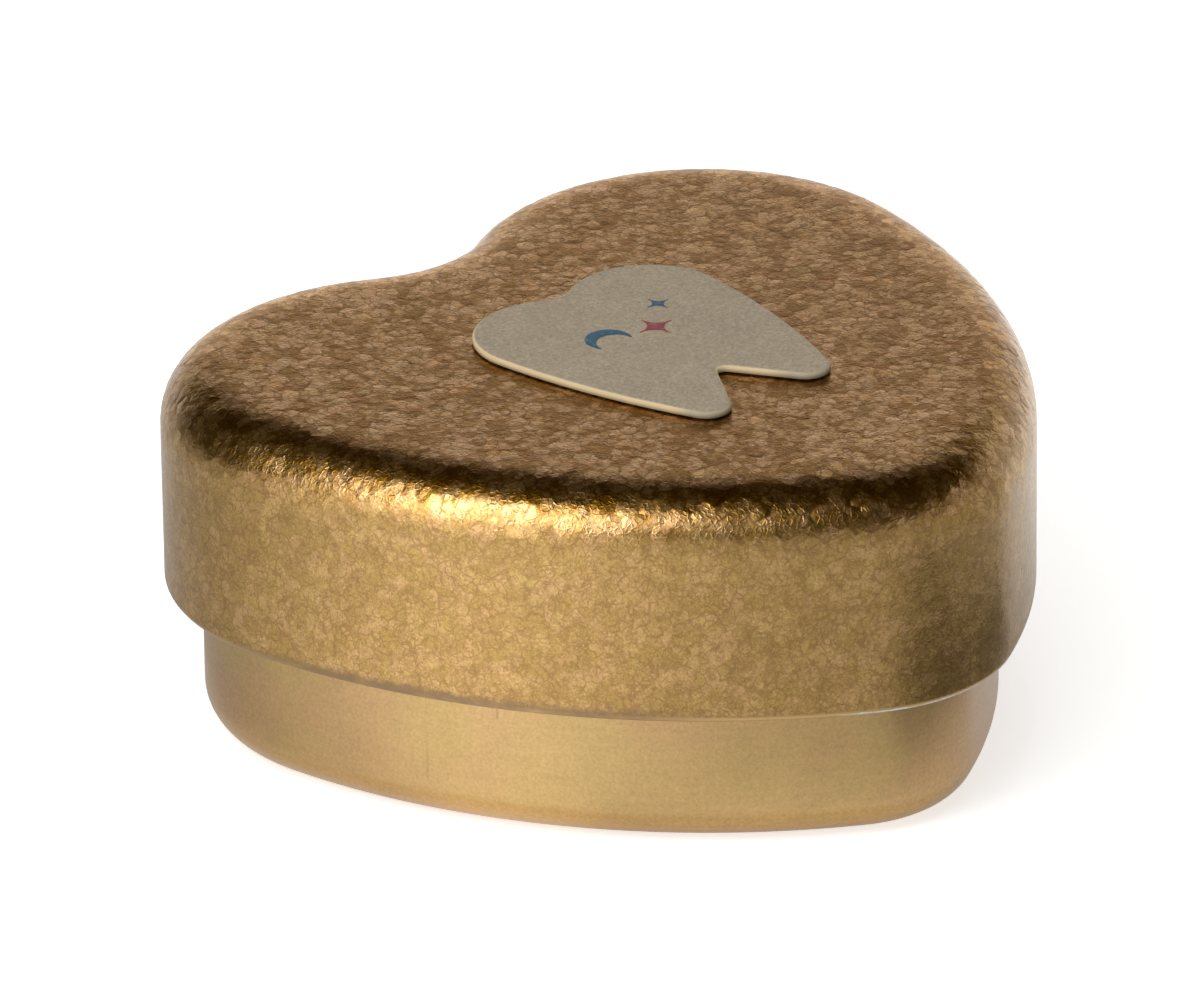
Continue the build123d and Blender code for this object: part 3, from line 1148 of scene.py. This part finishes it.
def make_floor():
    """A white table. In reflections only, it carries painted light and shade: brightest on the key's side, a
    painted shadow of the lid's overhang on the left and a painted dark patch beside the tip.
    """
    angles = np.linspace(0, 2 * math.pi, 96, endpoint=False)
    rim = np.column_stack([np.cos(angles), np.sin(angles), np.zeros(len(angles))]) * floor_radius
    floor = mesh_object("floor", rim, [tuple(range(len(angles)))])
    paint = Paint("floor")
    level = paint.vector("NORMALIZE", paint.place)
    away = paint.vector("LENGTH", paint.place)
    # Painted light in reflections: brighter towards the key, in front, behind and on the right
    sheen = paint.math("MULTIPLY_ADD", lobe(paint, level, table_azimuth, 7.0), table_azimuth_level, table_level)
    sheen = paint.math("MULTIPLY_ADD", lobe(paint, level, front_azimuth, 8.0), front_level, sheen)
    sheen = paint.math("MULTIPLY_ADD", lobe(paint, level, math.pi, 4.0), behind_level, sheen)
    sheen = paint.math("MULTIPLY_ADD", lobe(paint, level, right_azimuth, 6.0), right_level, sheen)
    # Painted shadow of the lid's overhang on the table at the left
    hollow = paint.product(lobe(paint, level, overhang_shadow_azimuth, 3.0), paint.span(away, 27 * MM, 40 * MM, 1.0, 0.0))
    sheen = paint.product(sheen, paint.math("MULTIPLY_ADD", hollow, -overhang_shadow_share, 1.0))
    # A painted dark patch beside the tip
    forward = paint.vector("DOT_PRODUCT", paint.place, tuple(from_camera(0)))
    aside = paint.vector("DOT_PRODUCT", paint.place, tuple(from_camera(QUARTER)))
    dark = paint.product(
        paint.span(forward, dark_forward[0] - dark_edge, dark_forward[0] + dark_edge, soft=True),
        paint.span(forward, dark_forward[1] - dark_edge, dark_forward[1] + dark_edge, 1.0, 0.0, soft=True),
        paint.span(aside, dark_aside[0] - 2 * dark_edge, dark_aside[0] + 2 * dark_edge, soft=True),
        paint.span(aside, dark_aside[1] - dark_edge, dark_aside[1] + dark_edge, 1.0, 0.0, soft=True),
    )
    sheen = paint.product(sheen, paint.math("MULTIPLY_ADD", dark, -dark_share, 1.0))
    # Painted light close to the tin
    sheen = paint.math("MAXIMUM", sheen, paint.span(away, *near_reach, near_level, 0.0, soft=True))
    # Only glossy rays see the painted light and shade; other rays see an even white
    rays = paint.add("LightPath")
    glossy = rays.outputs["Is Glossy Ray"]
    sheen = paint.add("Mix", {0: glossy, 2: 1.0, 3: sheen}, data_type="FLOAT").outputs[0]
    lift = paint.add("Mix", {0: glossy, 2: floor_lift, 3: table_lift}, data_type="FLOAT").outputs[0]
    seen = paint.math("MAXIMUM", rays.outputs["Is Camera Ray"], glossy)
    seen = paint.math("MAXIMUM", seen, rays.outputs["Is Transmission Ray"])
    white = paint.mix(paint.noise(8 * MM, 4.0), (0.90, 0.90, 0.90), (0.88, 0.88, 0.88))
    paint.set(
        Base_Color=paint.times(white, sheen),
        Roughness=1.0,
        Specular_IOR_Level=0.0,
        Emission_Color=(1, 1, 1),
        Emission_Strength=paint.product(seen, sheen, lift),
    )
    floor.data.materials.append(paint.material)
    floor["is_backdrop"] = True


# The pieces in their places


def dress(piece, material, body, replaced=None):
    piece.data.materials.clear()
    piece.data.materials.append(material)
    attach(piece, body)
    if replaced:
        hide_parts(replaced)


def make_motif():
    """A crescent moon on the tooth, with a star beside it and a smaller one beyond."""
    red = motif_paint("red_paint", (0.26, 0.045, 0.06), (0.30, 0.12, 0.11))
    blue = motif_paint("blue_paint", (0.03, 0.10, 0.16), (0.10, 0.16, 0.20))
    moon = make_painted("motif_moon", turned(crescent_arcs(), moon_turn), moon_middle)
    star = make_painted("motif_star", star_arcs(star_reach), star_middle)
    small_star = make_painted("motif_small_star", star_arcs(small_star_reach), small_star_middle)
    dress(moon, blue, "lid")
    dress(star, red, "lid")
    dress(small_star, blue, "lid")


make_camera()
make_world()
make_floor()
make_lamp("key", from_camera(key_azimuth, key_elevation), key_distance, key_size, key_radiance)
make_lamp("halo", from_camera(halo_azimuth, halo_elevation), halo_distance, halo_size, halo_radiance, halo_roll)
make_lamp("wing", from_camera(wing_azimuth, wing_elevation), key_distance, wing_size, wing_radiance)
make_lamp("fill", Vector((0, 0, 1)), fill_height, fill_size, fill_radiance, glossy=False)

dress(make_base(), base_lacquer(), "base", "base_shell")
dress(make_lid(), lid_lacquer(), "lid", "lid_shell")
dress(make_plaque(), plaque_enamel(), "lid", "tooth_plaque")
make_motif()

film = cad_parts["plaque_adhesive"]
film.data.materials.clear()
film.data.materials.append(adhesive_film())

bpy.context.scene.view_settings.view_transform = "Standard"

boxes = {"cad": cad_bounds, "visual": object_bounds()}
{name: [list(corner) for corner in box] for name, box in boxes.items()}
